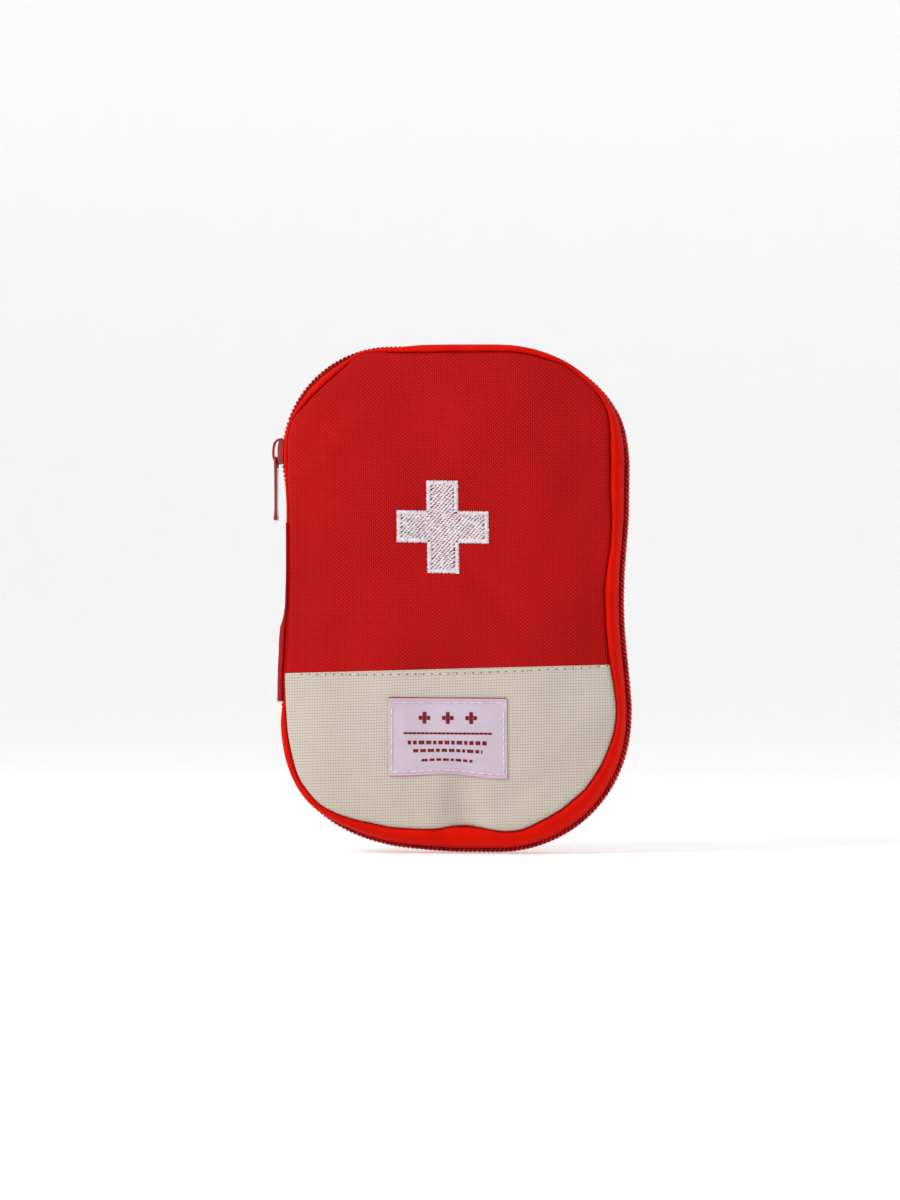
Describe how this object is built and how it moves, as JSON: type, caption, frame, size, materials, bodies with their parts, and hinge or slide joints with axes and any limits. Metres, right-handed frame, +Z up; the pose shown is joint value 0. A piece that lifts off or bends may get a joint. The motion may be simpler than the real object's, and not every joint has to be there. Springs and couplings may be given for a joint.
{
  "type": "first aid kit",
  "caption": "Zip-around padded fabric first aid case that opens like a book about a fabric spine, with pockets and loops holding dressings inside and a belt loop behind.",
  "frame": {"origin": "on the surface the kit stands on, under the middle of the overall box", "axes": "+Z up the standing case, -Y out of the front face with the cross, +X away from the spine"},
  "size_m": [0.1321, 0.0364, 0.185],
  "materials": {
    "red_oxford": "woven polyester with a fine basket weave",
    "beige_rib": "ribbed woven polyester",
    "piping_orange": "smooth padded knit band",
    "zip_tape": "flat woven tape",
    "zip_coil": "satin nylon coil",
    "foam": "open foam",
    "lining_red": "plain taffeta",
    "patch_white": "satin stitch embroidery",
    "label_woven": "woven satin",
    "mesh_grey": "open knit mesh",
    "elastic_black": "ribbed elastic",
    "webbing_red": "herringbone webbing",
    "gauze_white": "loose cotton weave",
    "sachet_paper": "crimped sachet",
    "plaster_skin": "stretch fabric",
    "tape_white": "wound adhesive tape",
    "core_blue": "moulded spool",
    "steel": "brushed",
    "enamel_red": "glossy enamel"
  },
  "bodies": {
    "back_half": {"back_panel": "red_oxford", "back_foam": "foam", "back_lining": "lining_red", "back_gusset": "piping_orange", "back_zip_tape": "zip_tape", "back_zip_coil": "zip_coil", "front_tape_end": "zip_tape", "front_coil_end": "zip_coil", "spine_back": "piping_orange", "belt_loop": "webbing_red", "back_pocket": "mesh_grey", "back_pocket_hem": "elastic_black", "elastic_loops": "elastic_black", "wide_bandage": "gauze_white", "narrow_bandage": "gauze_white", "tape_roll": "tape_white", "tape_core": "core_blue", "tweezers": "steel", "gauze_pads": "sachet_paper", "wipe_sachets": "sachet_paper"},
    "cover": {"front_panel_upper": "red_oxford", "front_panel_lower": "beige_rib", "front_foam": "foam", "front_lining": "lining_red", "front_gusset": "piping_orange", "front_zip_tape": "zip_tape", "front_zip_coil": "zip_coil", "spine_front": "piping_orange", "cross_patch": "patch_white", "woven_label": "label_woven", "cover_pocket": "mesh_grey", "cover_pocket_hem": "elastic_black", "plaster_strips": "plaster_skin"},
    "zip_slider": {"slider_body": "enamel_red", "slider_crown": "enamel_red"},
    "pull_tab": {"pull_tab": "enamel_red"}
  },
  "joints": [
    {"name": "cover_hinge", "type": "hinge", "parent": "back_half", "child": "cover", "pos_m": [-0.06313, -0.0026, 0.0915], "axis": [0, 0, -1], "range_deg": [0, 180]},
    {"name": "slider_travel", "type": "hinge", "parent": "back_half", "child": "zip_slider", "pos_m": [-0.02202, -0.0026, 0.145], "axis": [0, 1, 0], "range_deg": [0, 84]},
    {"name": "tab_swing", "type": "hinge", "parent": "zip_slider", "child": "pull_tab", "pos_m": [-0.06414, -0.0026, 0.14434], "axis": [0, 1, 0], "range_deg": [0, 110]}
  ]
}
